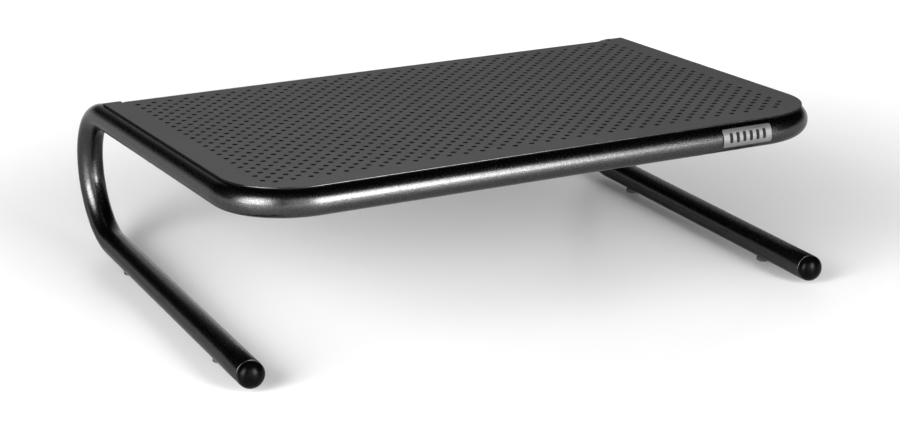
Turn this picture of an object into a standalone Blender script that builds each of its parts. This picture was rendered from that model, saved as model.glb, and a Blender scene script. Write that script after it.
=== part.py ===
"""Monitor riser stand: a perforated steel deck on one bent steel tube.

The tube starts at the front end of the left foot, runs back along the desk, turns up and over in
a half-circle bend, comes forward as the left rail, crosses the front as the front rail, and goes
back and down again on the right.  The sheet-steel deck lies on top of the rails, and tack welds
under its edge hold it.  Each foot ends in a domed plug and stands on two push-in bumpers.

World axes: +X to the right, -Y to the front, +Z up, origin under the middle of the stand.
"""

import math

import bmesh
import bpy
from mathutils import Matrix, Vector

# ---------------------------------------------------------------- driving dimensions, in metres
TUBE_RADIUS = 0.0079            # 5/8 inch tube
TUBE_WALL = 0.0012
TUBE_RIBS = 24                  # flat sides around the tube

FRAME_WIDTH = 0.3590            # between the axes of the two side rails
RAIL_LENGTH = 0.2278            # from the back bend to the axis of the front rail
CORNER_RADIUS = 0.0385          # bend radius at the two front corners
BACK_RADIUS = 0.0404            # bend radius of the half circle at the back
DECK_TILT = math.radians(2.74)  # the unloaded deck rises to the front by this angle
FOOT_LENGTH = 0.2218            # straight part of a foot, up to the open end of the tube
FOOT_INSET = 0.0017             # a foot starts this far inside its rail ...
FOOT_FLARE = 0.0008             # ... and ends this far outside it

FIT_GAP = 0.0003                # clearance left between pieces that touch

SHEET = 0.0009                  # deck sheet thickness
DECK_WIDTH = 0.3649
DECK_SHIFT = 0.0012             # the deck sits this far to the right of the frame's middle
DECK_FRONT = 0.0030             # overhang in front of the front rail's axis
DECK_CORNER = 0.0405            # corner radius of the deck's outline
EAR_WIDTH = 0.0124              # flat ears beside the folded flange
EAR_REACH = 0.0003              # how far the ears reach behind the start of the back bend
FLANGE_FACE = 0.0015            # outer face of the flange, in front of the start of the back bend
FLANGE_DEPTH = 0.0110           # height of the folded flange
FOLD_RADIUS = 0.0019            # outer radius of the fold
RELIEF_WIDTH = 0.0008           # slot that lets the flange fold beside an ear
RELIEF_DEPTH = 0.0010

CAP_RADIUS = 0.0078
CAP_COLLAR = 0.0015             # straight rim of the end cap
CAP_DOME = 0.0058               # height of the dome in front of the rim
CAP_CHAMFER = 0.0003
PLUG_CORE = 0.0052              # plug radius between the ribs
PLUG_RIB = 0.0061               # radius over the ribs that grip the tube
PLUG_LENGTH = 0.0150
PLUG_RIB_COUNT = 3
PLUG_RIB_RISE = 0.0009          # a rib starts this far outside its middle, towards the dome ...
PLUG_RIB_FALL = 0.0005          # ... has its crest this far outside, and ends as far inside

BUMPER_HEIGHT = 0.0020          # how far a bumper stands out under the tube
BUMPER_RADIUS = 0.0040
BUMPER_EDGE = 0.0004
BUMPER_HUG = 0.0016             # how far the head's rim reaches up round the tube
BUMPER_FRONT = 0.0450           # from the open end of the foot to the front bumper
BUMPER_REAR = 0.0270            # from the end of the back bend to the rear bumper
STEM_RADIUS = 0.0023
STEM_HOLE = 0.0027
BARB_RADIUS = 0.0031
BARB_TIP = 0.0015
BARB_BOTTOM = 0.0056            # the barb's lower and upper faces, measured below the tube's axis
BARB_TOP = 0.0032

PLATE_WIDTH = 0.0327            # nameplate on the front rail
PLATE_OFFSET = 0.1225           # from the middle of the frame to the middle of the nameplate
PLATE_FOIL = 0.00035
PLATE_LOW = math.radians(-27)   # where the foil starts and ends, as angles around the tube
PLATE_HIGH = math.radians(49)

BEAD_RADIUS = 0.0012            # tack-weld beads between the rails and the deck
BEAD_LENGTH = 0.0160
RAIL_WELDS = (("rear", 0.12), ("middle", 0.45), ("front", 0.78))      # shares of RAIL_LENGTH
FRONT_WELDS = (("left", -0.3), ("middle", 0.0), ("right", 0.3))       # shares of FRAME_WIDTH

# ---------------------------------------------------------------- finishes
FINISHES = {                    # linear colour, roughness, metallic
    "tube_paint": ((0.012, 0.012, 0.013), 0.28, 0.7),
    "deck_paint": ((0.095, 0.095, 0.098), 0.55, 0.2),
    "cap_plastic": ((0.006, 0.006, 0.006), 0.15, 0.0),
    "bumper_rubber": ((0.012, 0.012, 0.012), 0.80, 0.0),
    "nameplate_foil": ((0.55, 0.55, 0.56), 0.35, 0.9),
    "weld_paint": ((0.02, 0.02, 0.021), 0.60, 0.4),
}

# ---------------------------------------------------------------- how finely curves are cut
CORNER_STEPS = 12               # segments in a front corner of the tube
BACK_STEPS = 20                 # segments in a back bend
TURNED_STEPS = 24               # segments around caps and bumper heads
STEM_SIDES = 16                 # segments around bumper stems and their holes
DOME_STEPS = 8
FOLD_STEPS = 6
PLATE_STEPS = 12
BEAD_END_STEPS = 3
BEAD_SIDES = 10
SHARP_ANGLE = math.radians(30)  # edges sharper than this stay crisp
MERGE = 1e-6                    # points closer than this are one

# ---------------------------------------------------------------- worked out from those
FOOT_AXIS_Z = BUMPER_HEIGHT + TUBE_RADIUS
BACK_TURN = math.pi - DECK_TILT
FORWARD = Vector((0, -math.cos(DECK_TILT), math.sin(DECK_TILT)))      # along a rail, to the front
DECK_UP = Vector((0, math.sin(DECK_TILT), math.cos(DECK_TILT)))       # normal of the deck
BACK_REACH = BACK_RADIUS + TUBE_RADIUS
PLATE_FACE = TUBE_RADIUS + FIT_GAP + PLATE_FOIL
FRONT_REACH = RAIL_LENGTH * math.cos(DECK_TILT) - BACK_RADIUS * math.sin(DECK_TILT) + PLATE_FACE
BEND_CENTRE = Vector((0, (FRONT_REACH - BACK_REACH) / 2, FOOT_AXIS_Z + BACK_RADIUS))
RAIL_START = BEND_CENTRE + BACK_RADIUS * DECK_UP
FOOT_SLOPE = (FOOT_INSET + FOOT_FLARE) / FOOT_LENGTH
DECK_UNDERSIDE = TUBE_RADIUS + FIT_GAP
DECK_TOP = DECK_UNDERSIDE + SHEET


# ---------------------------------------------------------------- helpers
def clear_scene():
    for obj in list(bpy.data.objects):
        bpy.data.objects.remove(obj, do_unlink=True)


def new_collection(name):
    collection = bpy.data.collections.new(name)
    bpy.context.scene.collection.children.link(collection)
    return collection


def material(name):
    colour, roughness, metallic = FINISHES[name]
    mat = bpy.data.materials.new(name)
    mat.use_nodes = True
    shader = mat.node_tree.nodes["Principled BSDF"]
    shader.inputs["Base Color"].default_value = (*colour, 1.0)
    shader.inputs["Roughness"].default_value = roughness
    shader.inputs["Metallic"].default_value = metallic
    return mat


def add_object(name, mesh, collection, mat=None, matrix=None):
    obj = bpy.data.objects.new(name, mesh)
    collection.objects.link(obj)
    if mat:
        mesh.materials.append(mat)
    if matrix:
        obj.matrix_world = matrix
    return obj


def shade(mesh):
    mesh.shade_smooth()
    mesh.set_sharp_from_angle(angle=SHARP_ANGLE)


def turned_mesh(name, profile, steps):
    """A solid of revolution about Z from (radius, height) points that run from top to bottom."""
    bm = bmesh.new()
    verts = [bm.verts.new((radius, 0, height)) for radius, height in profile]
    for a, b in zip(verts, verts[1:]):
        bm.edges.new((a, b))
    outline = bpy.data.meshes.new(name + "_outline")
    bm.to_mesh(outline)
    bm.free()
    turned = bpy.data.objects.new(name + "_outline", outline)
    bpy.context.scene.collection.objects.link(turned)
    screw = turned.modifiers.new("turn", "SCREW")
    screw.steps = steps
    screw.render_steps = steps
    screw.use_merge_vertices = True
    screw.merge_threshold = MERGE
    return evaluated_mesh(turned, name)


def evaluated_mesh(obj, name):
    """The object's mesh with its modifiers applied; the object itself is removed."""
    graph = bpy.context.evaluated_depsgraph_get()
    mesh = bpy.data.meshes.new_from_object(obj.evaluated_get(graph))
    mesh.name = name
    bm = bmesh.new()
    bm.from_mesh(mesh)
    bmesh.ops.remove_doubles(bm, verts=bm.verts, dist=MERGE)
    bm.to_mesh(mesh)
    bm.free()
    bpy.data.objects.remove(obj, do_unlink=True)
    return mesh


def boolean(obj, other, operation):
    mod = obj.modifiers.new(other.name, "BOOLEAN")
    mod.operation = operation
    mod.object = other
    mod.solver = "EXACT"


def cutter(name, mesh, collection, matrix):
    obj = add_object(name, mesh, collection, matrix=matrix)
    obj.hide_render = True
    obj.display_type = "WIRE"
    return obj


def cylinder_mesh(name, radius, length, sides):
    bm = bmesh.new()
    bmesh.ops.create_cone(bm, cap_ends=True, segments=sides, radius1=radius, radius2=radius,
                          depth=length)
    mesh = bpy.data.meshes.new(name)
    bm.to_mesh(mesh)
    bm.free()
    return mesh


# ---------------------------------------------------------------- places in the stand
def deck_point(x, forward, lift):
    """A point given in the plane of the rails: across, towards the front, and up from it."""
    return Vector((x, 0, 0)) + RAIL_START + forward * FORWARD + lift * DECK_UP


def deck_frame():
    """Local axes of the rails' plane: X across, Y to the back, Z up."""
    return Matrix.Translation(RAIL_START) @ Matrix.Rotation(-DECK_TILT, 4, "X")


def foot_point(side, distance):
    """A point on a foot's axis, measured from the end of the back bend."""
    x = FRAME_WIDTH / 2 - FOOT_INSET + FOOT_SLOPE * distance
    return Vector((side * x, BEND_CENTRE.y - distance, FOOT_AXIS_Z))


def foot_frame(side, distance):
    """Local axes on a foot: Y along the foot to the back, Z up."""
    turn = Matrix.Rotation(side * math.atan(FOOT_SLOPE), 4, "Z")
    return Matrix.Translation(foot_point(side, distance)) @ turn


def half_route():
    """The tube's axis from the right front corner to the open end of the right foot."""
    points = []
    corner_x = FRAME_WIDTH / 2 - CORNER_RADIUS
    corner_y = RAIL_LENGTH - CORNER_RADIUS
    for i in range(CORNER_STEPS + 1):
        a = math.pi / 2 * i / CORNER_STEPS
        points.append(deck_point(corner_x + CORNER_RADIUS * math.sin(a),
                                 corner_y + CORNER_RADIUS * math.cos(a), 0))
    end_slope = -FOOT_SLOPE * BACK_RADIUS * BACK_TURN
    for i in range(BACK_STEPS + 1):
        t = i / BACK_STEPS
        a = BACK_TURN * t
        inset = FOOT_INSET * (3 - 2 * t) * t ** 2 + end_slope * (t - 1) * t ** 2
        around = DECK_UP * math.cos(a) - FORWARD * math.sin(a)
        points.append(BEND_CENTRE + BACK_RADIUS * around + Vector((FRAME_WIDTH / 2 - inset, 0, 0)))
    points.append(foot_point(1, FOOT_LENGTH))
    return points


# ---------------------------------------------------------------- pieces
def frame_tube(parts, cutters, mat):
    right = half_route()
    left = [Vector((-p.x, p.y, p.z)) for p in reversed(right)]
    curve = bpy.data.curves.new("frame_route", "CURVE")
    curve.dimensions = "3D"
    curve.bevel_depth = TUBE_RADIUS
    curve.bevel_resolution = (TUBE_RIBS - 4) // 2       # gives 4 + 2 * resolution sides
    spline = curve.splines.new("POLY")
    spline.points.add(len(left + right) - 1)
    for point, place in zip(spline.points, left + right):
        point.co = (*place, 1)
    route = bpy.data.objects.new("frame_route", curve)
    bpy.context.scene.collection.objects.link(route)
    mesh = evaluated_mesh(route, "frame_tube")
    mesh.materials.clear()
    shade(mesh)
    tube = add_object("frame_tube", mesh, parts, mat)
    wall = tube.modifiers.new("wall", "SOLIDIFY")
    wall.thickness = TUBE_WALL
    wall.offset = -1
    drill = cylinder_mesh("stem_hole", STEM_HOLE, 2 * TUBE_WALL + BUMPER_HEIGHT, STEM_SIDES)
    for side, end, distance in bumper_places():
        depth = TUBE_RADIUS - TUBE_WALL / 2
        place = foot_frame(side, distance) @ Matrix.Translation((0, 0, -depth))
        boolean(tube, cutter(f"stem_hole_{side_name(side)}_{end}", drill, cutters, place),
                "DIFFERENCE")
    return tube


def deck_plate(parts, mat):
    """Flat sheet with rounded front corners, two ears, and a flange folded down at the back."""
    half = DECK_WIDTH / 2
    fold = -(FLANGE_FACE + FOLD_RADIUS)
    notch = half - EAR_WIDTH
    front = -(RAIL_LENGTH + DECK_FRONT)
    right_side = [(notch, fold), (notch, fold - RELIEF_DEPTH),
                  (notch + RELIEF_WIDTH, fold - RELIEF_DEPTH), (notch + RELIEF_WIDTH, EAR_REACH),
                  (half, EAR_REACH)]
    for i in range(CORNER_STEPS + 1):
        a = math.pi / 2 * i / CORNER_STEPS
        right_side.append((half - DECK_CORNER * (1 - math.cos(a)),
                           front + DECK_CORNER * (1 - math.sin(a))))
    outline = right_side + [(-x, y) for x, y in reversed(right_side)]
    bm = bmesh.new()
    verts = [bm.verts.new((x, y, DECK_TOP)) for x, y in reversed(outline)]
    bm.faces.new(verts)
    fold_edge = bm.edges.get((verts[0], verts[-1]))
    bent = bmesh.ops.spin(bm, geom=[fold_edge], angle=math.pi / 2, steps=FOLD_STEPS,
                          axis=(-1, 0, 0), cent=(0, fold, DECK_TOP - FOLD_RADIUS))
    last = [e for e in bent["geom_last"] if isinstance(e, bmesh.types.BMEdge)]
    hem = bmesh.ops.extrude_edge_only(bm, edges=last)
    moved = [v for v in hem["geom"] if isinstance(v, bmesh.types.BMVert)]
    bmesh.ops.translate(bm, verts=moved, vec=(0, 0, FOLD_RADIUS - FLANGE_DEPTH))
    bmesh.ops.remove_doubles(bm, verts=bm.verts, dist=MERGE)
    bmesh.ops.recalc_face_normals(bm, faces=bm.faces)
    if max(bm.faces, key=lambda face: face.calc_area()).normal.z < 0:
        bmesh.ops.reverse_faces(bm, faces=bm.faces)
    mesh = bpy.data.meshes.new("deck_plate")
    bm.to_mesh(mesh)
    bm.free()
    shade(mesh)
    place = deck_frame() @ Matrix.Translation((DECK_SHIFT, 0, 0))
    deck = add_object("deck_plate", mesh, parts, mat, place)
    sheet = deck.modifiers.new("sheet", "SOLIDIFY")
    sheet.thickness = SHEET
    sheet.offset = -1
    sheet.use_even_offset = True
    return deck


def end_cap_profile():
    """Dome, rim and ribbed plug, from the tip of the dome to the inner end of the plug."""
    profile = []
    for i in range(DOME_STEPS + 1):
        a = math.pi / 2 * i / DOME_STEPS
        profile.append((CAP_RADIUS * math.sin(a), CAP_COLLAR + CAP_DOME * math.cos(a)))
    profile.append((CAP_RADIUS, FIT_GAP + CAP_CHAMFER))
    profile.append((CAP_RADIUS - CAP_CHAMFER, FIT_GAP))
    profile.append((PLUG_CORE, FIT_GAP))
    spacing = PLUG_LENGTH / (PLUG_RIB_COUNT + 1)
    for i in range(1, PLUG_RIB_COUNT + 1):
        z = -spacing * i
        profile += [(PLUG_CORE, z + PLUG_RIB_RISE), (PLUG_RIB, z + PLUG_RIB_FALL),
                    (PLUG_CORE, z - PLUG_RIB_FALL)]
    profile += [(PLUG_CORE, -PLUG_LENGTH + CAP_CHAMFER), (PLUG_CORE - CAP_CHAMFER, -PLUG_LENGTH),
                (0, -PLUG_LENGTH)]
    return profile


def end_caps(parts, mat):
    for side in (-1, 1):
        mesh = turned_mesh(f"end_cap_{side_name(side)}", end_cap_profile(), TURNED_STEPS)
        shade(mesh)
        out_of_tube = Matrix.Rotation(math.pi / 2, 4, "X")
        place = foot_frame(side, FOOT_LENGTH) @ out_of_tube
        add_object(f"end_cap_{side_name(side)}", mesh, parts, mat, place)


def side_name(side):
    return "left" if side < 0 else "right"


def bumper_places():
    for side in (-1, 1):
        yield side, "front", FOOT_LENGTH - BUMPER_FRONT
        yield side, "rear", BUMPER_REAR


def bumpers(parts, cutters, mat):
    """Rubber bumper: a round head shaped to the tube, a stem through its wall, and a barb."""
    bottom = -(TUBE_RADIUS + BUMPER_HEIGHT)
    head_top = -TUBE_RADIUS + BUMPER_HUG
    head_profile = [(0, head_top), (BUMPER_RADIUS, head_top), (BUMPER_RADIUS, bottom + BUMPER_EDGE),
                    (BUMPER_RADIUS - BUMPER_EDGE, bottom), (0, bottom)]
    stem_foot = -(TUBE_RADIUS + BUMPER_HEIGHT / 2)
    stem_profile = [(0, -BARB_TOP), (BARB_TIP, -BARB_TOP), (BARB_RADIUS, -BARB_BOTTOM),
                    (STEM_RADIUS, -BARB_BOTTOM), (STEM_RADIUS, stem_foot), (0, stem_foot)]
    lengthwise = Matrix.Rotation(math.pi / 2, 4, "X")
    past_head = 4 * BUMPER_RADIUS
    saddle = cylinder_mesh("saddle", TUBE_RADIUS + FIT_GAP, past_head, 2 * TUBE_RIBS)
    stem = turned_mesh("bumper_stem", stem_profile, STEM_SIDES)
    for side, end, distance in bumper_places():
        name = f"bumper_{side_name(side)}_{end}"
        place = foot_frame(side, distance)
        mesh = turned_mesh(name, head_profile, TURNED_STEPS)
        shade(mesh)
        head = add_object(name, mesh, parts, mat, place)
        boolean(head, cutter(f"saddle_{name}", saddle, cutters, place @ lengthwise), "DIFFERENCE")
        boolean(head, cutter(f"stem_{name}", stem, cutters, place), "UNION")


def nameplate(parts, mat):
    """Foil wrapped over the front of the front rail."""
    bm = bmesh.new()
    start = PLATE_FACE * Vector((0, -math.cos(PLATE_LOW), math.sin(PLATE_LOW)))
    ends = [bm.verts.new(start + Vector((x, 0, 0))) for x in (-PLATE_WIDTH / 2, PLATE_WIDTH / 2)]
    edge = bm.edges.new(ends)
    bmesh.ops.spin(bm, geom=[edge], angle=PLATE_HIGH - PLATE_LOW, steps=PLATE_STEPS,
                   axis=(-1, 0, 0), cent=(0, 0, 0))
    bmesh.ops.recalc_face_normals(bm, faces=bm.faces)
    bm.faces.ensure_lookup_table()
    if bm.faces[0].normal.y > 0:
        bmesh.ops.reverse_faces(bm, faces=bm.faces)
    mesh = bpy.data.meshes.new("nameplate")
    bm.to_mesh(mesh)
    bm.free()
    shade(mesh)
    place = deck_frame() @ Matrix.Translation((PLATE_OFFSET, -RAIL_LENGTH, 0))
    plate = add_object("nameplate", mesh, parts, mat, place)
    foil = plate.modifiers.new("foil", "SOLIDIFY")
    foil.thickness = PLATE_FOIL
    foil.offset = -1


def weld_beads(parts, mat):
    """Tack welds in the corner between the deck's underside and the inner flank of the rails."""
    straight = BEAD_LENGTH / 2 - BEAD_RADIUS
    profile = []
    for end in (1, -1):
        for i in range(BEAD_END_STEPS + 1):
            a = math.pi / 2 * (i if end > 0 else BEAD_END_STEPS - i) / BEAD_END_STEPS
            profile.append((BEAD_RADIUS * math.sin(a),
                            end * (straight + BEAD_RADIUS * math.cos(a))))
    lift = TUBE_RADIUS - BEAD_RADIUS
    inboard = math.sqrt((TUBE_RADIUS + BEAD_RADIUS + FIT_GAP) ** 2 - lift ** 2)
    rail_x = FRAME_WIDTH / 2 - inboard
    spots = [(f"weld_{side_name(side)}_{name}", side * rail_x, RAIL_LENGTH * share, "X")
             for side in (-1, 1) for name, share in RAIL_WELDS]
    spots += [(f"weld_front_{name}", FRAME_WIDTH * share, RAIL_LENGTH - inboard, "Y")
              for name, share in FRONT_WELDS]
    for name, x, forward, axis in spots:
        mesh = turned_mesh(name, profile, BEAD_SIDES)
        shade(mesh)
        lay_down = Matrix.Rotation(math.pi / 2, 4, axis)
        place = deck_frame() @ Matrix.Translation((x, -forward, lift)) @ lay_down
        add_object(name, mesh, parts, mat, place)


def main():
    clear_scene()
    parts = new_collection("monitor_riser_stand")
    cutters = new_collection("cutters")
    frame_tube(parts, cutters, material("tube_paint"))
    deck_plate(parts, material("deck_paint"))
    end_caps(parts, material("cap_plastic"))
    bumpers(parts, cutters, material("bumper_rubber"))
    nameplate(parts, material("nameplate_foil"))
    weld_beads(parts, material("weld_paint"))



main()
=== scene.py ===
"""Looks of the monitor riser stand: fine meshes, materials, studio and camera around the CAD frame.

Every CAD node is replaced by a finer piece of the same size in the same place.  The rails' plane
has its own axes: X across, Y to the back and Z up from it, with the origin where the back bends
start.  World axes are the frame's: +X to the right, -Y to the front, +Z up.
"""

import math

import bmesh
import bpy
from mathutils import Matrix, Vector

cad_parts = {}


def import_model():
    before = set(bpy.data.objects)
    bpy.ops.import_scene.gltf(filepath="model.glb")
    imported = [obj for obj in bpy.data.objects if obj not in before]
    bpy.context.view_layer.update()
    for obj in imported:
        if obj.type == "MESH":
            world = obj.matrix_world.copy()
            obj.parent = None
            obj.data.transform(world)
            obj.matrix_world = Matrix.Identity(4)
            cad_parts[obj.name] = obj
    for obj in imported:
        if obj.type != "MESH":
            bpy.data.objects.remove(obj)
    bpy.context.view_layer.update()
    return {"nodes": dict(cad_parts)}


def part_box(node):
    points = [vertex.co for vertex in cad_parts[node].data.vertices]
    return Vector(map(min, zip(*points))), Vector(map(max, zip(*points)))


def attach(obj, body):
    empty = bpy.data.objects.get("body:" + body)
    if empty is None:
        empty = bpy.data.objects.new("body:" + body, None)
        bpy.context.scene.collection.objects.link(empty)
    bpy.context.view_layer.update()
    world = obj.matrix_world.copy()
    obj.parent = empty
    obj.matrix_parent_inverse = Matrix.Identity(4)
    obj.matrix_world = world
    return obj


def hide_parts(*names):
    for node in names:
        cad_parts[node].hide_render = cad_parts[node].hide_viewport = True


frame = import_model()

# ---------------------------------------------------------------- the frame's driving dimensions
TUBE_RADIUS = 0.0079
TUBE_WALL = 0.0012
CORNER_RADIUS = 0.0385          # front corners of the tube
BACK_RADIUS = 0.0404            # half circles at the back
DECK_TILT = math.radians(2.74)
FOOT_LENGTH = 0.2218
FOOT_INSET = 0.0017
FOOT_FLARE = 0.0008
FRAME_WIDTH = 0.3590
RAIL_LENGTH = 0.2278
BUMPER_HEIGHT = 0.0020
FIT_GAP = 0.0003

DECK_LIFT = 0.0091              # top face of the deck above the rails' axes
SHEET = 0.0012                  # the deck lies on the rails: its sheet and the CAD's fitting gap
DECK_WIDTH = 0.3649
DECK_SHIFT = 0.0012             # the deck sits this far to the right of the frame's middle
DECK_FRONT = 0.0030             # overhang in front of the front rail's axis
DECK_CORNER = 0.0405
EAR_WIDTH = 0.0124              # flat ears beside the folded flange
EAR_REACH = 0.0003              # how far the ears reach behind the start of the back bends
EAR_ROUND = 0.0012
FLANGE_FACE = 0.0015            # outer face of the flange, in front of the start of the back bends
FLANGE_DEPTH = 0.0110
FOLD_RADIUS = 0.0019
RELIEF_WIDTH = 0.0008           # slot that lets the flange fold beside an ear
RELIEF_DEPTH = 0.0010
HEM_ROUND = 0.0030              # lower corners of the flange
CUT_EDGE = 0.00036              # the paint rounds every cut edge of the sheet by this much
FRONT_SHARE = 0.5               # least share of the front direction in an edge that gets the brighter lacquer, a painted highlight
MITRE_LEAST = 0.3               # keeps a sharp corner of the inset outline from running away
DECK_CORNER_STEPS = 36
EAR_STEPS = 5
HEM_STEPS = 6
FOLD_STEPS = 8
CUT_STEPS = 4
MAIN, CUT, HIGHLIGHT_EDGE = 0, 1, 2     # a piece's own material; the deck's cut sides and hole walls, near-black for painted shade; its front edge, brighter for a painted highlight

HOLE_PITCH = 0.0051             # between rows, and half the pitch along a row
HOLE_RADIUS = 0.00155
HOLE_ROLL = 0.00010             # rolled-over rim that the punch leaves
HOLE_SIDES = 16
HOLE_COLUMNS = 66
HOLE_ROWS = 40
HOLES_LEFT = -0.16389           # middle of the first column, in the frame's x
HOLES_BACK = 0.0142             # middle of the first row, in front of the start of the back bends
NO_HOLE = (65, 39)              # the staggered pattern stops one short at the right front

# ---------------------------------------------------------------- worked out from those
tube_low, tube_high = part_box("frame_tube")
FOOT_AXIS_Z = tube_low.z + TUBE_RADIUS
BEND_CENTRE = Vector((0, tube_high.y - TUBE_RADIUS - BACK_RADIUS, FOOT_AXIS_Z + BACK_RADIUS))
BACK_TURN = math.pi - DECK_TILT
FORWARD = Vector((0, -math.cos(DECK_TILT), math.sin(DECK_TILT)))
DECK_UP = Vector((0, math.sin(DECK_TILT), math.cos(DECK_TILT)))
RAIL_START = BEND_CENTRE + BACK_RADIUS * DECK_UP
FOOT_SLOPE = (FOOT_INSET + FOOT_FLARE) / FOOT_LENGTH
FOLD_LINE = -(FLANGE_FACE + FOLD_RADIUS)
NOTCH = DECK_WIDTH / 2 - EAR_WIDTH
QUARTER_TURN = math.pi / 2


# ---------------------------------------------------------------- places in the stand
def deck_frame():
    return Matrix.Translation(RAIL_START) @ Matrix.Rotation(-DECK_TILT, 4, "X")


def deck_point(x, forward, lift):
    return Vector((x, 0, 0)) + RAIL_START + forward * FORWARD + lift * DECK_UP


def foot_point(side, distance):
    x = FRAME_WIDTH / 2 - FOOT_INSET + FOOT_SLOPE * distance
    return Vector((side * x, BEND_CENTRE.y - distance, FOOT_AXIS_Z))


def foot_frame(side, distance):
    turn = Matrix.Rotation(side * math.atan(FOOT_SLOPE), 4, "Z")
    return Matrix.Translation(foot_point(side, distance)) @ turn


def side_name(side):
    return "left" if side < 0 else "right"


# ---------------------------------------------------------------- mesh helpers
CREASE = math.radians(30)       # edges sharper than this stay crisp
TUBE_CREASE = math.radians(40)  # the same for the tube, whose lips are rounded in few steps
BEAD_CREASE = math.radians(60)  # the same for a weld's ripples


class Skin:
    """Points and faces of one piece, collected face by face."""

    def __init__(self):
        self.points = []
        self.faces = []
        self.flat = []          # faces that stay flat between smooth ones
        self.finish = {}        # faces that don't take the piece's own material

    def row(self, places):
        first = len(self.points)
        self.points.extend(places)
        return list(range(first, len(self.points)))

    def face(self, corners, flat=False, finish=MAIN):
        if flat:
            self.flat.append(len(self.faces))
        if finish:
            self.finish[len(self.faces)] = finish
        self.faces.append(corners)

    def bridge(self, a, b, finish=MAIN):
        for i in range(len(a)):
            j = (i + 1) % len(a)
            self.face((a[i], a[j], b[j], b[i]), finish=finish)

    def fan(self, ring, centre):
        for i in range(len(ring)):
            self.faces.append((ring[i], ring[(i + 1) % len(ring)], centre))

    def mesh(self, name, matrix=None, crease=CREASE):
        mesh = bpy.data.meshes.new(name)
        mesh.from_pydata([tuple(p) for p in self.points], [], self.faces)
        if matrix:
            mesh.transform(matrix)
        face_out(mesh)
        mesh.shade_smooth()
        mesh.set_sharp_from_angle(angle=crease)
        for index in self.flat:
            mesh.polygons[index].use_smooth = False
        for index, finish in self.finish.items():
            mesh.polygons[index].material_index = finish
        return mesh


def face_out(mesh):
    bm = bmesh.new()
    bm.from_mesh(mesh)
    bmesh.ops.recalc_face_normals(bm, faces=bm.faces)
    bm.to_mesh(mesh)
    bm.free()


def piece(name, mesh, mat, slot, *nodes):
    """A finished piece that stands for CAD nodes and rides on the stand's one body."""
    obj = bpy.data.objects.new(name, mesh)
    bpy.context.scene.collection.objects.link(obj)
    mesh.materials.append(mat)
    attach(obj, "root")
    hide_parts(*nodes)
    return obj


def circle(radius, height, sides):
    return [Vector((radius * math.cos(math.tau * i / sides),
                    radius * math.sin(math.tau * i / sides), height)) for i in range(sides)]


def turned(profile, sides):
    """A solid of revolution about Z; the profile's first and last points are on the axis."""
    skin = Skin()
    tip = skin.row([Vector((0, 0, profile[0][1]))])[0]
    rings = [skin.row(circle(radius, height, sides)) for radius, height in profile[1:-1]]
    tail = skin.row([Vector((0, 0, profile[-1][1]))])[0]
    skin.fan(rings[0], tip)
    for a, b in zip(rings, rings[1:]):
        skin.bridge(a, b)
    skin.fan(rings[-1], tail)
    return skin


def arc(centre, radius, start, end, steps):
    """Points on an arc in a plane, both ends included; angles in radians."""
    angles = [start + (end - start) * i / steps for i in range(steps + 1)]
    return [(centre[0] + radius * math.cos(a), centre[1] + radius * math.sin(a)) for a in angles]


# ---------------------------------------------------------------- node helpers
class Graph:
    """Short names for building any node tree."""

    def __init__(self, tree):
        self.tree = tree

    def add(self, kind, **settings):
        node = self.tree.nodes.new(kind)
        for key, value in settings.items():
            setattr(node, key, value)
        return node

    def link(self, a, b):
        self.tree.links.new(a, b)

    def axis(self, vector, name):
        split = self.add("ShaderNodeSeparateXYZ")
        self.link(vector, split.inputs["Vector"])
        return split.outputs[name]

    def spread(self, value, low, high, to_low, to_high, kind="LINEAR"):
        """The value stretched from one range to another, and held at its ends."""
        node = self.add("ShaderNodeMapRange", interpolation_type=kind)
        for key, number in zip(("From Min", "From Max", "To Min", "To Max"),
                               (low, high, to_low, to_high)):
            node.inputs[key].default_value = number
        self.link(value, node.inputs["Value"])
        return node.outputs["Result"]

    def math(self, operation, a, b):
        node = self.add("ShaderNodeMath", operation=operation)
        for socket, value in zip(node.inputs, (a, b)):
            if isinstance(value, (int, float)):
                socket.default_value = value
            else:
                self.link(value, socket)
        return node.outputs[0]


class Nodes(Graph):
    """A material with its textures in the object's own coordinates."""

    def __init__(self, name):
        self.material = bpy.data.materials.new(name)
        self.material.use_nodes = True
        super().__init__(self.material.node_tree)
        self.shader = self.tree.nodes["Principled BSDF"]
        self.place = self.add("ShaderNodeTexCoord").outputs["Object"]

    def set(self, **values):
        for key, value in values.items():
            self.shader.inputs[key.replace("_", " ")].default_value = value

    def noise(self, scale, detail=2.0, roughness=0.5, stretch=None):
        """Noise with details of about 1/scale metres; stretch scales the axes one by one."""
        node = self.add("ShaderNodeTexNoise")
        node.inputs["Scale"].default_value = scale
        node.inputs["Detail"].default_value = detail
        node.inputs["Roughness"].default_value = roughness
        where = self.place
        if stretch:
            mapping = self.add("ShaderNodeMapping")
            mapping.inputs["Scale"].default_value = stretch
            self.link(where, mapping.inputs["Vector"])
            where = mapping.outputs["Vector"]
        self.link(where, node.inputs["Vector"])
        return node.outputs["Fac"]

    def cells(self, scale):
        """A random value for each flake of about 1/scale metres."""
        node = self.add("ShaderNodeTexVoronoi")
        node.inputs["Scale"].default_value = scale
        self.link(self.place, node.inputs["Vector"])
        channels = self.add("ShaderNodeSeparateColor")
        self.link(node.outputs["Color"], channels.inputs["Color"])
        return channels.outputs["Red"]

    def ramp(self, value, stops):
        node = self.add("ShaderNodeValToRGB")
        ramp = node.color_ramp
        while len(ramp.elements) < len(stops):
            ramp.elements.new(0.5)
        for element, (position, colour) in zip(ramp.elements, stops):
            element.position = position
            element.color = (*colour, 1.0)
        self.link(value, node.inputs["Fac"])
        return node.outputs["Color"]

    def bump(self, height, distance, strength=1.0, before=None):
        node = self.add("ShaderNodeBump")
        node.inputs["Strength"].default_value = strength
        node.inputs["Distance"].default_value = distance
        self.link(height, node.inputs["Height"])
        if before:
            self.link(before, node.inputs["Normal"])
        return node.outputs["Normal"]


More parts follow.
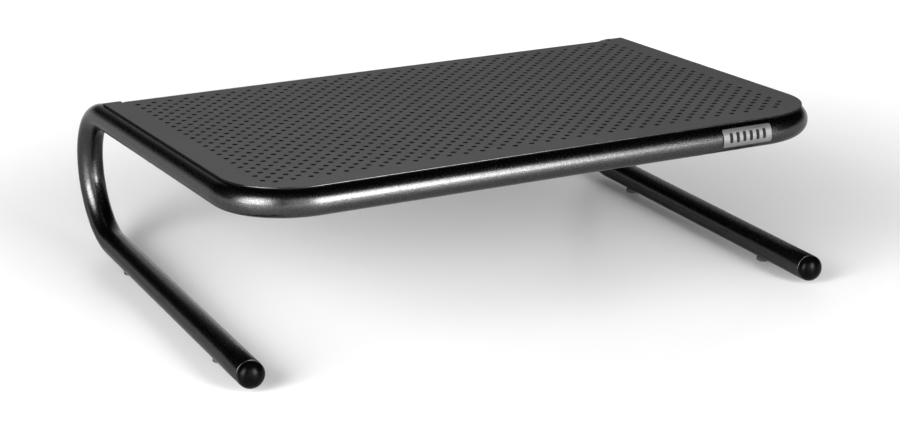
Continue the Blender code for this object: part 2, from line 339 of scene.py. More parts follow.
def grey(value, warm=0.0):
    """A linear grey, or one that leans to red by a small share."""
    return (value * (1 + warm), value, value * (1 - warm))


# ---------------------------------------------------------------- materials
def dark_gloss(name, flakes, low, high):
    """Black metal-flake lacquer: no glow of its own, and a dim, grainy mirror."""
    n = Nodes(name)
    flake = n.cells(flakes)
    n.link(n.ramp(flake, [(0.0, grey(low)), (0.8, grey((low + high) / 2)), (1.0, grey(high))]),
           n.shader.inputs["Base Color"])
    n.link(n.spread(n.noise(1400, 3), 0.3, 0.7, 0.18, 0.30), n.shader.inputs["Roughness"])
    peel = n.bump(n.noise(420, 2), 0.00003, 0.35)
    grain = n.bump(n.noise(2400, 3, 0.7), 0.00005, 0.6, peel)
    n.link(grain, n.shader.inputs["Normal"])
    n.set(Metallic=1.0, Specular_Tint=(0.65, 0.65, 0.65, 1.0))
    return n.material


def tube_paint():
    return dark_gloss("tube_paint", 2600, 0.036, 0.075)


def edge_highlight_paint():
    """The sheet's upper front edge: the same lacquer made brighter, a painted highlight along the
    front edge only.
    """
    return dark_gloss("edge_highlight_paint", 3200, 0.050, 0.090)


def deck_paint():
    """Satin dark grey powder coat with a fine, even grain."""
    n = Nodes("deck_paint")
    broad = n.noise(14, 2)
    fine = n.noise(1500, 3, 0.65)
    shade = n.math("ADD", n.math("MULTIPLY", broad, 0.35), n.math("MULTIPLY", fine, 0.65))
    n.link(n.ramp(shade, [(0.30, grey(0.041)), (0.70, grey(0.058))]),
           n.shader.inputs["Base Color"])
    n.link(n.spread(fine, 0.3, 0.7, 0.58, 0.70), n.shader.inputs["Roughness"])
    peel = n.bump(n.noise(600, 2), 0.00005, 0.4)
    n.link(n.bump(fine, 0.00004, 0.5, peel), n.shader.inputs["Normal"])
    n.set(IOR=1.4, Specular_IOR_Level=0.08)
    return n.material


def hole_and_cut_shade():
    """Near-black paint on the holes' walls and the sheet's cut sides: painted shade in the holes and
    along the side edges, with a fine streaked grain.
    """
    n = Nodes("hole_and_cut_shade")
    streaks = n.noise(2600, 3, 0.6, stretch=(1, 1, 0.2))
    n.link(n.ramp(streaks, [(0.3, grey(0.001)), (0.7, grey(0.004))]), n.shader.inputs["Base Color"])
    n.link(n.spread(streaks, 0.3, 0.7, 0.7, 0.9), n.shader.inputs["Roughness"])
    n.set(IOR=1.5, Specular_IOR_Level=0.05)
    return n.material


def cap_plastic():
    """Black injection-moulded plastic with a soft gloss."""
    n = Nodes("cap_plastic")
    cloud = n.noise(260, 2)
    n.link(n.ramp(cloud, [(0.3, grey(0.0003)), (0.7, grey(0.0010))]),
           n.shader.inputs["Base Color"])
    n.link(n.spread(n.noise(900, 3), 0.3, 0.7, 0.20, 0.27), n.shader.inputs["Roughness"])
    n.link(n.bump(n.noise(700, 2), 0.00002, 0.3), n.shader.inputs["Normal"])
    n.set(IOR=1.5, Specular_IOR_Level=0.045)
    return n.material


def bumper_rubber():
    """Matt black rubber with a fine pebble grain and a little dust."""
    n = Nodes("bumper_rubber")
    grain = n.noise(1800, 3, 0.6)
    n.link(n.ramp(n.noise(500, 3), [(0.35, grey(0.012)), (0.75, grey(0.026, 0.03))]),
           n.shader.inputs["Base Color"])
    n.link(n.spread(grain, 0.3, 0.7, 0.62, 0.82), n.shader.inputs["Roughness"])
    n.link(n.bump(grain, 0.00006, 0.6), n.shader.inputs["Normal"])
    n.set(IOR=1.5)
    return n.material


def nameplate_foil():
    """Brushed silver foil, brushed along the rail."""
    n = Nodes("nameplate_foil")
    brushed = n.noise(2400, 3, 0.6, stretch=(0.04, 1, 1))
    n.link(n.ramp(brushed, [(0.3, grey(0.09)), (0.7, grey(0.14))]), n.shader.inputs["Base Color"])
    n.link(n.spread(brushed, 0.3, 0.7, 0.45, 0.58), n.shader.inputs["Roughness"])
    n.link(n.bump(brushed, 0.00002, 0.35), n.shader.inputs["Normal"])
    n.set(Metallic=0.85)
    return n.material


def nameplate_ink():
    """Dark ink with a slightly worn print."""
    n = Nodes("nameplate_ink")
    n.link(n.ramp(n.noise(1500, 3), [(0.35, grey(0.004)), (0.75, grey(0.012))]),
           n.shader.inputs["Base Color"])
    n.link(n.spread(n.noise(900, 2), 0.3, 0.7, 0.45, 0.6), n.shader.inputs["Roughness"])
    n.set(IOR=1.5, Specular_IOR_Level=0.06)
    return n.material


def weld_paint():
    """Paint over a rough weld bead."""
    n = Nodes("weld_paint")
    spatter = n.noise(900, 4, 0.65)
    n.link(n.ramp(spatter, [(0.35, grey(0.010)), (0.7, grey(0.028))]),
           n.shader.inputs["Base Color"])
    n.link(n.spread(spatter, 0.3, 0.7, 0.38, 0.60), n.shader.inputs["Roughness"])
    n.link(n.bump(spatter, 0.00012, 0.5), n.shader.inputs["Normal"])
    n.set(IOR=1.5)
    return n.material


# ---------------------------------------------------------------- the bent tube
TUBE_SIDES = 64
CORNER_RINGS = 28
BACK_RINGS = 44
STRAIGHT_RINGS = 10
TUBE_LIP = 0.00035              # rounding of the tube's open ends
LIP_STEPS = 3
STEM_HOLE = 0.0027


def straight(a, b, rings):
    """Points between a and b, neither end included."""
    return [a.lerp(b, i / rings) for i in range(1, rings)]


def half_route():
    """The tube's axis from the middle of the front rail to the open end of the right foot."""
    corner_x = FRAME_WIDTH / 2 - CORNER_RADIUS
    corner_y = RAIL_LENGTH - CORNER_RADIUS
    corner = []
    for i in range(CORNER_RINGS + 1):
        a = QUARTER_TURN * i / CORNER_RINGS
        corner.append(deck_point(corner_x + CORNER_RADIUS * math.sin(a),
                                 corner_y + CORNER_RADIUS * math.cos(a), 0))
    end_slope = -FOOT_SLOPE * BACK_RADIUS * BACK_TURN
    back = []
    for i in range(BACK_RINGS + 1):
        t = i / BACK_RINGS
        a = BACK_TURN * t
        inset = FOOT_INSET * (3 - 2 * t) * t ** 2 + end_slope * (t - 1) * t ** 2
        around = DECK_UP * math.cos(a) - FORWARD * math.sin(a)
        back.append(BEND_CENTRE + BACK_RADIUS * around + Vector((FRAME_WIDTH / 2 - inset, 0, 0)))
    middle = deck_point(0, RAIL_LENGTH, 0)
    end = foot_point(1, FOOT_LENGTH)
    return ([middle] + straight(middle, corner[0], STRAIGHT_RINGS) + corner
            + straight(corner[-1], back[0], STRAIGHT_RINGS) + back
            + straight(back[-1], end, STRAIGHT_RINGS) + [end])


def sweep_frames(route):
    """An origin, a side direction and an up direction at each point, carried along without twist."""
    ahead = [(b - a).normalized() for a, b in zip(route, route[1:])]
    tangents = [ahead[0]] + [(a + b).normalized() for a, b in zip(ahead, ahead[1:])] + [ahead[-1]]
    side = Vector((1, 0, 0))
    side = (side - tangents[0] * side.dot(tangents[0])).normalized()
    frames = []
    for point, tangent in zip(route, tangents):
        side = (side - tangent * side.dot(tangent)).normalized()
        frames.append((point, tangent, side, tangent.cross(side)))
    return frames


def tube_ring(place, radius, shift=0.0):
    point, tangent, side, up = place
    return [point + tangent * shift + radius * (side * math.cos(a) + up * math.sin(a))
            for a in (math.tau * i / TUBE_SIDES for i in range(TUBE_SIDES))]


def frame_tube(mat):
    right = half_route()
    left = [Vector((-p.x, p.y, p.z)) for p in reversed(right[1:])]
    places = sweep_frames(left + right)
    bore = TUBE_RADIUS - TUBE_WALL
    lip = [(TUBE_LIP * (1 - math.cos(a)), TUBE_LIP * (1 - math.sin(a)))
           for a in (QUARTER_TURN * i / LIP_STEPS for i in range(LIP_STEPS + 1))]
    start_lip = [tube_ring(places[0], TUBE_RADIUS - inward, along) for inward, along in lip]
    end_lip = [tube_ring(places[-1], TUBE_RADIUS - inward, -along) for inward, along in lip]
    outside = [tube_ring(place, TUBE_RADIUS) for place in places[1:-1]]
    inside = [tube_ring(place, bore) for place in places]
    skin = Skin()
    rows = start_lip[::-1] + outside + end_lip + inside[::-1]
    rings = [skin.row(ring) for ring in rows]
    for a, b in zip(rings, rings[1:] + rings[:1]):
        skin.bridge(a, b)
    mesh = skin.mesh("frame_tube_mesh", crease=TUBE_CREASE)
    drill_stem_holes(piece("riser_tube", mesh, mat, "tube_paint", "frame_tube"))


def drill_stem_holes(tube):
    """Holes through the lower wall of the feet for the bumpers' stems."""
    skin = Skin()
    for side, _, distance in bumper_places():
        place = foot_frame(side, distance)
        rings = [skin.row([place @ p for p in circle(STEM_HOLE, height, HOLE_SIDES * 2)])
                 for height in (-TUBE_RADIUS - TUBE_WALL, -TUBE_RADIUS + 2 * TUBE_WALL)]
        skin.bridge(*rings)
        skin.faces += [tuple(rings[0][::-1]), tuple(rings[1])]
    drill = bpy.data.objects.new("drill", skin.mesh("drill"))
    bpy.context.scene.collection.objects.link(drill)
    cut = tube.modifiers.new("stem_holes", "BOOLEAN")
    cut.operation = "DIFFERENCE"
    cut.object = drill
    cut.solver = "EXACT"
    apply_modifiers(tube)
    bpy.data.objects.remove(drill, do_unlink=True)


def apply_modifiers(obj):
    graph = bpy.context.evaluated_depsgraph_get()
    mesh = bpy.data.meshes.new_from_object(obj.evaluated_get(graph))
    obj.modifiers.clear()
    old, obj.data = obj.data, mesh
    bpy.data.meshes.remove(old)


# ---------------------------------------------------------------- the perforated deck
def deck_outline():
    """The unfolded sheet's outline, anticlockwise from the middle of the front, and the places
    in it where the fold begins on the right and on the left."""
    half = DECK_WIDTH / 2
    front = -(RAIL_LENGTH + DECK_FRONT)
    fold_end = FOLD_LINE + FOLD_RADIUS * QUARTER_TURN
    hem = fold_end + FLANGE_DEPTH - FOLD_RADIUS
    right = arc((half - DECK_CORNER, front + DECK_CORNER), DECK_CORNER, -QUARTER_TURN, 0,
                DECK_CORNER_STEPS)
    right += arc((half - EAR_ROUND, EAR_REACH - EAR_ROUND), EAR_ROUND, 0, QUARTER_TURN, EAR_STEPS)
    slot = FOLD_LINE - RELIEF_DEPTH
    right += [(NOTCH + RELIEF_WIDTH, EAR_REACH), (NOTCH + RELIEF_WIDTH, slot), (NOTCH, slot)]
    fold_right = len(right) + 1
    right += [(NOTCH, FOLD_LINE + (fold_end - FOLD_LINE) * i / FOLD_STEPS)
              for i in range(FOLD_STEPS + 1)]
    right += arc((NOTCH - HEM_ROUND, hem - HEM_ROUND), HEM_ROUND, 0, QUARTER_TURN, HEM_STEPS)
    outline = [(0, front)] + right + [(-x, y) for x, y in reversed(right)]
    return outline, fold_right, len(outline) - fold_right


def inset_outline(outline, by):
    """The outline moved inwards by a small distance, its corners mitred."""
    moved = []
    count = len(outline)
    for i, (x, y) in enumerate(outline):
        before, after = outline[i - 1], outline[(i + 1) % count]
        a = Vector((x - before[0], y - before[1])).normalized()
        b = Vector((after[0] - x, after[1] - y)).normalized()
        inward = Vector((-a.y - b.y, a.x + b.x)).normalized()
        spread = max(inward.dot(Vector((-a.y, a.x))), MITRE_LEAST)
        moved.append((x + inward.x * by / spread, y + inward.y * by / spread))
    return moved


def faces_front(outline):
    """For each stretch of the outline, whether it looks to the front rather than to a side."""
    places = [Vector(place) for place in outline]
    return [(b - a).normalized().x > FRONT_SHARE for a, b in zip(places, places[1:] + places[:1])]


def folded(x, y, depth):
    """A point of the unfolded sheet at a depth below its top face, once the flange is folded."""
    past = y - FOLD_LINE
    quarter = FOLD_RADIUS * QUARTER_TURN
    on_an_ear = abs(x) > NOTCH + RELIEF_WIDTH / 2
    if past <= 0 or on_an_ear:
        return Vector((x + DECK_SHIFT, y, DECK_LIFT - depth))
    radius = FOLD_RADIUS - depth
    centre = DECK_LIFT - FOLD_RADIUS
    if past < quarter:
        a = past / FOLD_RADIUS
        return Vector((x + DECK_SHIFT, FOLD_LINE + radius * math.sin(a),
                       centre + radius * math.cos(a)))
    return Vector((x + DECK_SHIFT, FOLD_LINE + radius, centre - (past - quarter)))


def hole_field(skin, depth, radius):
    """One face of the perforated field: a staggered wall of bricks, each around one hole.
    Returns the bricks' corners and the ring of points around each hole."""
    def grid_x(column):
        return HOLES_LEFT - DECK_SHIFT + HOLE_PITCH * column

    def grid_y(half_row):
        return -(HOLES_BACK + HOLE_PITCH * half_row / 2)

    corners = {}
    for column in range(-1, HOLE_COLUMNS + 1):
        for half_row in range(-1, 2 * HOLE_ROWS, 2):
            place = folded(grid_x(column), grid_y(half_row), depth)
            corners[column, half_row] = skin.row([place])[0]
    rings = {}
    sector = HOLE_SIDES // 2
    for row in range(HOLE_ROWS):
        back, front = 2 * row - 1, 2 * row + 1
        blank = (HOLE_COLUMNS - 1, HOLE_COLUMNS) if row % 2 == 0 else (-1, 0)
        skin.face([corners[blank[0], front], corners[blank[1], front],
                   corners[blank[1], back], corners[blank[0], back]], flat=True)
        for column in range(row % 2, HOLE_COLUMNS, 2):
            brick = [corners[column + step, edge] for step, edge in
                     ((1, back), (0, back), (-1, back), (-1, front), (0, front), (1, front))]
            if (column, row) == NO_HOLE:
                skin.face(brick, flat=True)
                continue
            centre = (grid_x(column), grid_y(2 * row))
            ring = skin.row([folded(centre[0] + radius * math.cos(a),
                                    centre[1] + radius * math.sin(a), depth)
                             for a in (math.tau * i / HOLE_SIDES for i in range(HOLE_SIDES))])
            rings[column, row] = ring
            spokes = (1, sector // 2, sector - 1, sector + 1, sector + sector // 2,
                      HOLE_SIDES - 1)
            for i, start in enumerate(spokes):
                end = spokes[(i + 1) % len(spokes)]
                span = (end - start) % HOLE_SIDES
                near = [ring[(start + k) % HOLE_SIDES] for k in range(span + 1)]
                skin.face([brick[i], brick[(i + 1) % len(brick)]] + near[::-1], flat=True)
    return corners, rings


def field_side(corners, right_half):
    """The field's border from the middle of its front, round one side, to the middle of its back."""
    middle = HOLE_COLUMNS // 2
    last = 2 * HOLE_ROWS - 1
    edge = HOLE_COLUMNS if right_half else -1
    step = 1 if right_half else -1
    border = [(column, last) for column in range(middle, edge, step)]
    border += [(edge, half_row) for half_row in range(last, -2, -2)]
    border += [(column, -1) for column in range(edge - step, middle - step, -step)]
    return [corners[key] for key in border]


def deck_face(skin, outline, fold_right, fold_left, depth, radius):
    """The top or the underside of the sheet. Returns its rim and its rings."""
    rim = skin.row([folded(x, y, depth) for x, y in outline])
    corners, rings = hole_field(skin, depth, radius)
    fold_middle = skin.row([folded(0, FOLD_LINE, depth)])[0]
    skin.face(rim[:fold_right + 1] + [fold_middle] + field_side(corners, True)[::-1], flat=True)
    skin.face([rim[0]] + field_side(corners, False) + [fold_middle] + rim[fold_left:], flat=True)
    for i in range(FOLD_STEPS):
        a, b = fold_right + i, fold_left - i
        middle = [fold_middle] if i == 0 else []
        skin.face([rim[a], rim[a + 1], rim[b - 1], rim[b]] + middle)
    skin.face(rim[fold_right + FOLD_STEPS:fold_left - FOLD_STEPS + 1], flat=True)
    return rim, rings


def deck(top_paint, cut_shade, edge_highlight_paint):
    """Sheet-steel deck with 1319 punched holes, rounded front corners and a folded back flange."""
    outline, fold_right, fold_left = deck_outline()
    inner = inset_outline(outline, CUT_EDGE)
    skin = Skin()
    top_rim, top_rings = deck_face(skin, inner, fold_right, fold_left, 0.0,
                                   HOLE_RADIUS + HOLE_ROLL)
    low_rim, low_rings = deck_face(skin, inner, fold_right, fold_left, SHEET, HOLE_RADIUS)
    turns = [QUARTER_TURN * i / CUT_STEPS for i in range(1, CUT_STEPS + 1)]
    bands = [top_rim]
    for depth, direction, angles in ((0, 1, turns), (SHEET, -1, turns[::-1])):
        for a in angles:
            edge = inset_outline(outline, CUT_EDGE * (1 - math.sin(a)))
            level = depth + direction * CUT_EDGE * (1 - math.cos(a))
            bands.append(skin.row([folded(x, y, level) for x, y in edge]))
    bands.append(low_rim)
    # Only the front-facing stretches of the upper rounding get the brighter lacquer, a painted
    # highlight; the other cut sides get the near-black paint, painted shade.
    front_facing = faces_front(outline)
    for level, (a, b) in enumerate(zip(bands, bands[1:])):
        for i in range(len(a)):
            j = (i + 1) % len(a)
            gets_highlight = level < CUT_STEPS and front_facing[i]
            skin.face((a[i], a[j], b[j], b[i]), finish=HIGHLIGHT_EDGE if gets_highlight else CUT)
    # The holes' walls take the near-black paint as well: painted shade in the holes.
    for key, ring in top_rings.items():
        low = low_rings[key]
        lip = skin.row([skin.points[i] + Vector((0, 0, SHEET - HOLE_ROLL)) for i in low])
        skin.bridge(ring, lip, finish=CUT)
        skin.bridge(lip, low, finish=CUT)
    mesh = skin.mesh("deck_mesh", deck_frame())
    piece("perforated_deck", mesh, top_paint, "deck_paint", "deck_plate")
    mesh.materials.append(cut_shade)
    mesh.materials.append(edge_highlight_paint)


# ---------------------------------------------------------------- end caps
CAP_RADIUS = 0.0078
CAP_COLLAR = 0.0015
CAP_DOME = 0.0058
CAP_CHAMFER = 0.0003
CAP_SIDES = 72
PLUG_CORE = 0.0052
PLUG_RIB = 0.0061
PLUG_LENGTH = 0.0150
PLUG_RIBS = 3
PLUG_SLOPE = 0.25               # share of a rib's spacing over which it rises to its crest
DOME_STEPS = 22
CHAMFER_STEPS = 4


def end_cap_profile():
    dome = arc((0, 0), 1, QUARTER_TURN, 0, DOME_STEPS)
    profile = [(CAP_RADIUS * x, CAP_COLLAR + CAP_DOME * y) for x, y in dome]
    profile[0] = (0, profile[0][1])
    profile += [(CAP_RADIUS - CAP_CHAMFER + x, FIT_GAP + CAP_CHAMFER + y)
                for x, y in arc((0, 0), CAP_CHAMFER, 0, -QUARTER_TURN, CHAMFER_STEPS)]
    profile.append((PLUG_CORE, FIT_GAP))
    spacing = PLUG_LENGTH / (PLUG_RIBS + 1)
    slope = PLUG_SLOPE * spacing
    for i in range(1, PLUG_RIBS + 1):
        crest = -spacing * i
        profile += [(PLUG_CORE, crest + slope), (PLUG_RIB, crest + slope / 2),
                    (PLUG_RIB, crest), (PLUG_CORE, crest - slope / 2)]
    profile += [(PLUG_CORE, CAP_CHAMFER - PLUG_LENGTH), (PLUG_CORE - CAP_CHAMFER, -PLUG_LENGTH),
                (0, -PLUG_LENGTH)]
    return profile


def end_caps(mat):
    for side in (-1, 1):
        out_of_tube = Matrix.Rotation(QUARTER_TURN, 4, "X")
        matrix = foot_frame(side, FOOT_LENGTH) @ out_of_tube
        name = f"end_cap_{side_name(side)}"
        mesh = turned(end_cap_profile(), CAP_SIDES).mesh(name + "_mesh", matrix)
        piece(f"domed_cap_{side_name(side)}", mesh, mat, "cap_plastic", name)


# ---------------------------------------------------------------- rubber bumpers
BUMPER_RADIUS = 0.0040
BUMPER_EDGE = 0.0006
BUMPER_FRONT = 0.0450
BUMPER_REAR = 0.0270
BUMPER_SIDES = 48
STEM_RADIUS = 0.0023
BARB_RADIUS = 0.0031
BARB_TIP = 0.0015
BARB_BOTTOM = 0.0056            # the barb's faces, measured below the tube's axis
BARB_TOP = 0.0032
BUMPER_BASE_RINGS = (0.3, 0.6)  # shares of the radius at which the base has a ring
BUMPER_EDGE_STEPS = 5
SADDLE_RINGS = (1.0, 0.85)      # the saddle's outer rings, as shares of the radius


def bumper_places():
    for side in (-1, 1):
        yield side, "front", FOOT_LENGTH - BUMPER_FRONT
        yield side, "rear", BUMPER_REAR


def saddle_ring(radius):
    """A ring that lies on the tube's surface, the fitting gap below it."""
    reach = TUBE_RADIUS + FIT_GAP
    return [Vector((p.x, p.y, -math.sqrt(reach ** 2 - p.x ** 2)))
            for p in circle(radius, 0, BUMPER_SIDES)]


def bumper_skin():
    bottom = -(TUBE_RADIUS + BUMPER_HEIGHT)
    skin = Skin()
    foot = skin.row([Vector((0, 0, bottom))])[0]
    rows = [circle(BUMPER_RADIUS * share, bottom, BUMPER_SIDES) for share in BUMPER_BASE_RINGS]
    rows += [circle(BUMPER_RADIUS - BUMPER_EDGE + x, bottom + BUMPER_EDGE + y, BUMPER_SIDES)
             for x, y in arc((0, 0), BUMPER_EDGE, -QUARTER_TURN, 0, BUMPER_EDGE_STEPS)]
    reach = [BUMPER_RADIUS * share for share in SADDLE_RINGS]
    reach += [(BUMPER_RADIUS + STEM_RADIUS) / 2, STEM_RADIUS]
    rows += [saddle_ring(radius) for radius in reach]
    rows += [circle(radius, -height, BUMPER_SIDES) for radius, height in
             ((STEM_RADIUS, BARB_BOTTOM), (BARB_RADIUS, BARB_BOTTOM), (BARB_TIP, BARB_TOP))]
    rings = [skin.row(row) for row in rows]
    skin.fan(rings[0], foot)
    for a, b in zip(rings, rings[1:]):
        skin.bridge(a, b)
    skin.fan(rings[-1], skin.row([Vector((0, 0, -BARB_TOP))])[0])
    return skin


def bumpers(mat):
    for side, end, distance in bumper_places():
        name = f"bumper_{side_name(side)}_{end}"
        mesh = bumper_skin().mesh(name + "_mesh", foot_frame(side, distance))
        piece(f"rubber_{name}", mesh, mat, "bumper_rubber", name)


# ---------------------------------------------------------------- nameplate
PLATE_WIDTH = 0.0327
PLATE_FOIL = 0.00035
PLATE_LOW = math.radians(-27)   # where the foil starts and ends, as angles round the tube
PLATE_HIGH = math.radians(49)
PLATE_ROUND = 0.0010
PLATE_ROWS = 40
MARK_BARS = 6                   # plain bars in the place of any lettering
MARK_WIDTH = 0.0021
MARK_PITCH = 0.0045
MARK_SHARE = 0.26               # half a bar's height, as a share of the plate's
MARK_ROUND = 0.25               # a bar's corner radius, as a share of its width
MARK_RAISE = 0.00004


def wrapped_pad(skin, middle, width, low, high, inner, outer, rounding, rows):
    """A closed pad wrapped round the front rail, with rounded corners. Angles go up from level."""
    levels = []
    for i in range(rows + 1):
        angle = low + (high - low) * i / rows
        from_end = min(angle - low, high - angle) * outer
        cut = max(rounding - from_end, 0.0)
        half = width / 2 - (rounding - math.sqrt(max(rounding ** 2 - cut ** 2, 0.0)))
        levels.append((angle, half))

    def lane(radius):
        left, right = [], []
        for angle, half in levels:
            y, z = -radius * math.cos(angle), radius * math.sin(angle)
            left.append(Vector((middle - half, y, z)))
            right.append(Vector((middle + half, y, z)))
        return skin.row(left), skin.row(right)

    (a, b), (c, d) = lane(outer), lane(inner)
    for i in range(rows):
        skin.faces += [(a[i], b[i], b[i + 1], a[i + 1]), (c[i + 1], d[i + 1], d[i], c[i]),
                       (a[i + 1], c[i + 1], c[i], a[i]), (b[i], d[i], d[i + 1], b[i + 1])]
    skin.faces += [(a[0], c[0], d[0], b[0]), (a[-1], b[-1], d[-1], c[-1])]


def nameplate(foil, ink):
    plate_low, plate_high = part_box("nameplate")
    middle = (plate_low.x + plate_high.x) / 2
    on_rail = deck_frame() @ Matrix.Translation((middle, -RAIL_LENGTH, 0))
    inner = TUBE_RADIUS + FIT_GAP
    outer = inner + PLATE_FOIL
    plate = Skin()
    wrapped_pad(plate, 0, PLATE_WIDTH, PLATE_LOW, PLATE_HIGH, inner, outer, PLATE_ROUND,
                PLATE_ROWS)
    piece("silver_nameplate", plate.mesh("nameplate_mesh", on_rail), foil, "nameplate_foil",
          "nameplate")
    level = (PLATE_LOW + PLATE_HIGH) / 2
    reach = (PLATE_HIGH - PLATE_LOW) * MARK_SHARE
    marks = Skin()
    for i in range(MARK_BARS):
        x = (i - (MARK_BARS - 1) / 2) * MARK_PITCH
        wrapped_pad(marks, x, MARK_WIDTH, level - reach, level + reach, outer,
                    outer + MARK_RAISE, MARK_WIDTH * MARK_ROUND, PLATE_ROWS // 2)
    piece("nameplate_bars", marks.mesh("nameplate_bars_mesh", on_rail), ink, "nameplate_foil")


# ---------------------------------------------------------------- weld beads
BEAD_RADIUS = 0.0012
BEAD_RIPPLES = 9
RIPPLE_DEPTH = 0.13             # share of the bead's radius
BEAD_RINGS = 54
BEAD_SIDES = 20


def bead_profile(length):
    """A capsule whose skin rises and falls like overlapping drops of weld."""
    profile = [(0, length / 2)]
    for i in range(1, BEAD_RINGS):
        z = length / 2 - length * i / BEAD_RINGS
        from_end = length / 2 - abs(z)
        cut = max(BEAD_RADIUS - from_end, 0.0)
        drop = (i * BEAD_RIPPLES / BEAD_RINGS) % 1.0
        ripple = 1 - RIPPLE_DEPTH * (1 - math.sqrt(max(1 - (2 * drop - 1) ** 2, 0.0)))
        profile.append((math.sqrt(BEAD_RADIUS ** 2 - cut ** 2) * ripple, z))
    return profile + [(0, -length / 2)]


def weld_beads(mat):
    for name in sorted(n for n in frame["nodes"] if n.startswith("weld_")):
        low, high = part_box(name)
        size = high - low
        across = size.x > size.y
        along_rail = size.y / math.cos(DECK_TILT) - 2 * BEAD_RADIUS * math.tan(DECK_TILT)
        length = size.x if across else along_rail
        lay_down = Matrix.Rotation(QUARTER_TURN, 4, "Y" if across else "X")
        tilt = Matrix.Rotation(-DECK_TILT, 4, "X")
        matrix = Matrix.Translation((low + high) / 2) @ tilt @ lay_down
        bead = turned(bead_profile(length), BEAD_SIDES)
        mesh = bead.mesh(name + "_mesh", matrix, crease=BEAD_CREASE)
        piece("bead_" + name, mesh, mat, "weld_paint", name)


# ---------------------------------------------------------------- studio
CAMERA_PLACE = (-0.56922, -1.10381, 0.46059)
CAMERA_AZIMUTH = math.radians(-27.4808)
CAMERA_ELEVATION = math.radians(19.0652)
CAMERA_ROLL = math.radians(-0.4057)
CAMERA_LENS = 86.14

# Softboxes: azimuth of the middle (0 is the front), distance, lower edge, width, height, radiance
SOFTBOXES = {
    "softbox_left": (-69, 1.60, 0.12, 1.66, 1.78, 22.0),
    "softbox_front": (17, 1.75, 0.08, 1.00, 1.52, 34.0),
    "fill_front": (-8, 2.10, 0.00, 2.60, 3.00, 3.0),
    "rim_back": (159, 2.60, 0.00, 3.60, 2.60, 1.1),
}
SIDE_FADE = 0.42                # share of a softbox's width over which each side fades out
TOP_FADE = 0.65                 # share of its height over which its top fades out
FLOOR_RADIUS = 12.0
FLOOR_SIDES = 96
GLOW_NEAR, GLOW_FAR = 0.20, 0.9     # the floor glows with painted light, more further from the stand
GLOW_LEAST, GLOW_MOST = 0.0, 1.0
HORIZON_LOW, HORIZON_HIGH = 0.05, 0.11      # sines of the elevations between which the sky darkens
SKY_PALE, SKY_DARK = 1.0, 0.002
FAR_CLIP = 50


def around(azimuth, distance, height):
    """A place seen from the stand at this azimuth: 0 is the front, 90 the right."""
    a = math.radians(azimuth)
    return Vector((distance * math.sin(a), -distance * math.cos(a), height))


def camera():
    back = Vector((math.sin(CAMERA_AZIMUTH) * math.cos(CAMERA_ELEVATION),
                   -math.cos(CAMERA_AZIMUTH) * math.cos(CAMERA_ELEVATION),
                   math.sin(CAMERA_ELEVATION)))
    level = Vector((0, 0, 1)).cross(back).normalized()
    up = back.cross(level) * math.cos(CAMERA_ROLL) + level * math.sin(CAMERA_ROLL)
    data = bpy.data.cameras.new("camera")
    data.lens = CAMERA_LENS
    data.clip_end = FAR_CLIP
    obj = bpy.data.objects.new("camera", data)
    bpy.context.scene.collection.objects.link(obj)
    turn = Matrix((up.cross(back), up, back)).transposed().to_4x4()
    obj.matrix_world = Matrix.Translation(CAMERA_PLACE) @ turn
    bpy.context.scene.camera = obj


def fade_out(graph, along, share, both_ends):
    """1 in the middle of a 0-to-1 coordinate and 0 at its far end, or at both its ends."""
    from_end = graph.math("SUBTRACT", 1.0, along)
    if both_ends:
        from_end = graph.math("MINIMUM", along, from_end)
    return graph.spread(from_end, 0.0, share, 0.0, 1.0, "SMOOTHSTEP")


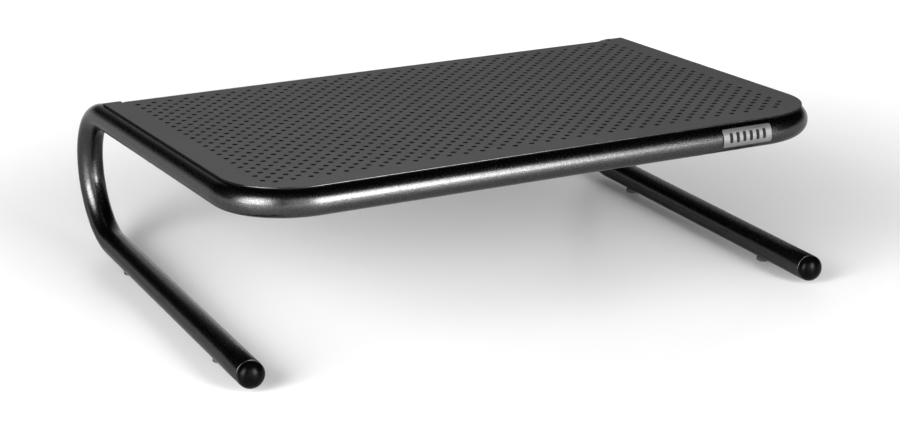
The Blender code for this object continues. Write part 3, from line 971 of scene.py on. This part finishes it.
def softbox(name, azimuth, distance, lift, width, height, radiance):
    """A soft, upright panel that faces the stand and fades out at its sides and its top."""
    data = bpy.data.lights.new(name, "AREA")
    data.shape = "RECTANGLE"
    data.size = width
    data.size_y = height
    data.energy = radiance * math.pi * width * height
    data.use_nodes = True
    graph = Graph(data.node_tree)
    across_panel = graph.add("ShaderNodeNewGeometry").outputs["Parametric"]
    sides = fade_out(graph, graph.axis(across_panel, "X"), SIDE_FADE, both_ends=True)
    top = fade_out(graph, graph.axis(across_panel, "Y"), TOP_FADE, both_ends=False)
    graph.link(graph.math("MULTIPLY", sides, top), graph.tree.nodes["Emission"].inputs["Strength"])
    obj = bpy.data.objects.new(name, data)
    bpy.context.scene.collection.objects.link(obj)
    obj.location = around(azimuth, distance, lift + height / 2)
    obj.rotation_euler = (QUARTER_TURN, 0, math.radians(azimuth))
    obj.visible_camera = False


def studio_floor():
    """A matt white table that glows, more the further it is from the stand: painted light that keeps
    it pale far from the lamps and leaves it darker round the stand.
    """
    n = Nodes("studio_floor")
    n.link(n.ramp(n.noise(3, 2), [(0.3, grey(0.62)), (0.7, grey(0.66))]),
           n.shader.inputs["Base Color"])
    reach = n.add("ShaderNodeVectorMath", operation="LENGTH")
    n.link(n.place, reach.inputs[0])
    n.link(n.spread(reach.outputs["Value"], GLOW_NEAR, GLOW_FAR, GLOW_LEAST, GLOW_MOST),
           n.shader.inputs["Emission Strength"])
    n.set(Roughness=0.38, Emission_Color=(1, 1, 1, 1))
    skin = Skin()
    skin.face(skin.row(circle(FLOOR_RADIUS, 0, FLOOR_SIDES)))
    floor = bpy.data.objects.new("studio_floor", skin.mesh("studio_floor"))
    bpy.context.scene.collection.objects.link(floor)
    floor.data.materials.append(n.material)


def world():
    """A dark sky with a white horizon all round."""
    sky = bpy.data.worlds.new("studio")
    sky.use_nodes = True
    graph = Graph(sky.node_tree)
    upward = graph.axis(graph.add("ShaderNodeTexCoord").outputs["Generated"], "Z")
    light = graph.spread(upward, HORIZON_LOW, HORIZON_HIGH, SKY_PALE, SKY_DARK, "SMOOTHSTEP")
    background = graph.tree.nodes["Background"]
    graph.link(light, background.inputs["Strength"])
    background.inputs["Color"].default_value = (1, 1, 1, 1)
    scene = bpy.context.scene
    scene.world = sky
    scene.view_settings.view_transform = "Standard"
    scene.view_settings.look = "None"


def studio():
    studio_floor()
    world()
    for name, numbers in SOFTBOXES.items():
        softbox(name, *numbers)
    camera()


# ---------------------------------------------------------------- build
studio()
frame_tube(tube_paint())
deck(deck_paint(), hole_and_cut_shade(), edge_highlight_paint())
end_caps(cap_plastic())
bumpers(bumper_rubber())
nameplate(nameplate_foil(), nameplate_ink())
weld_beads(weld_paint())
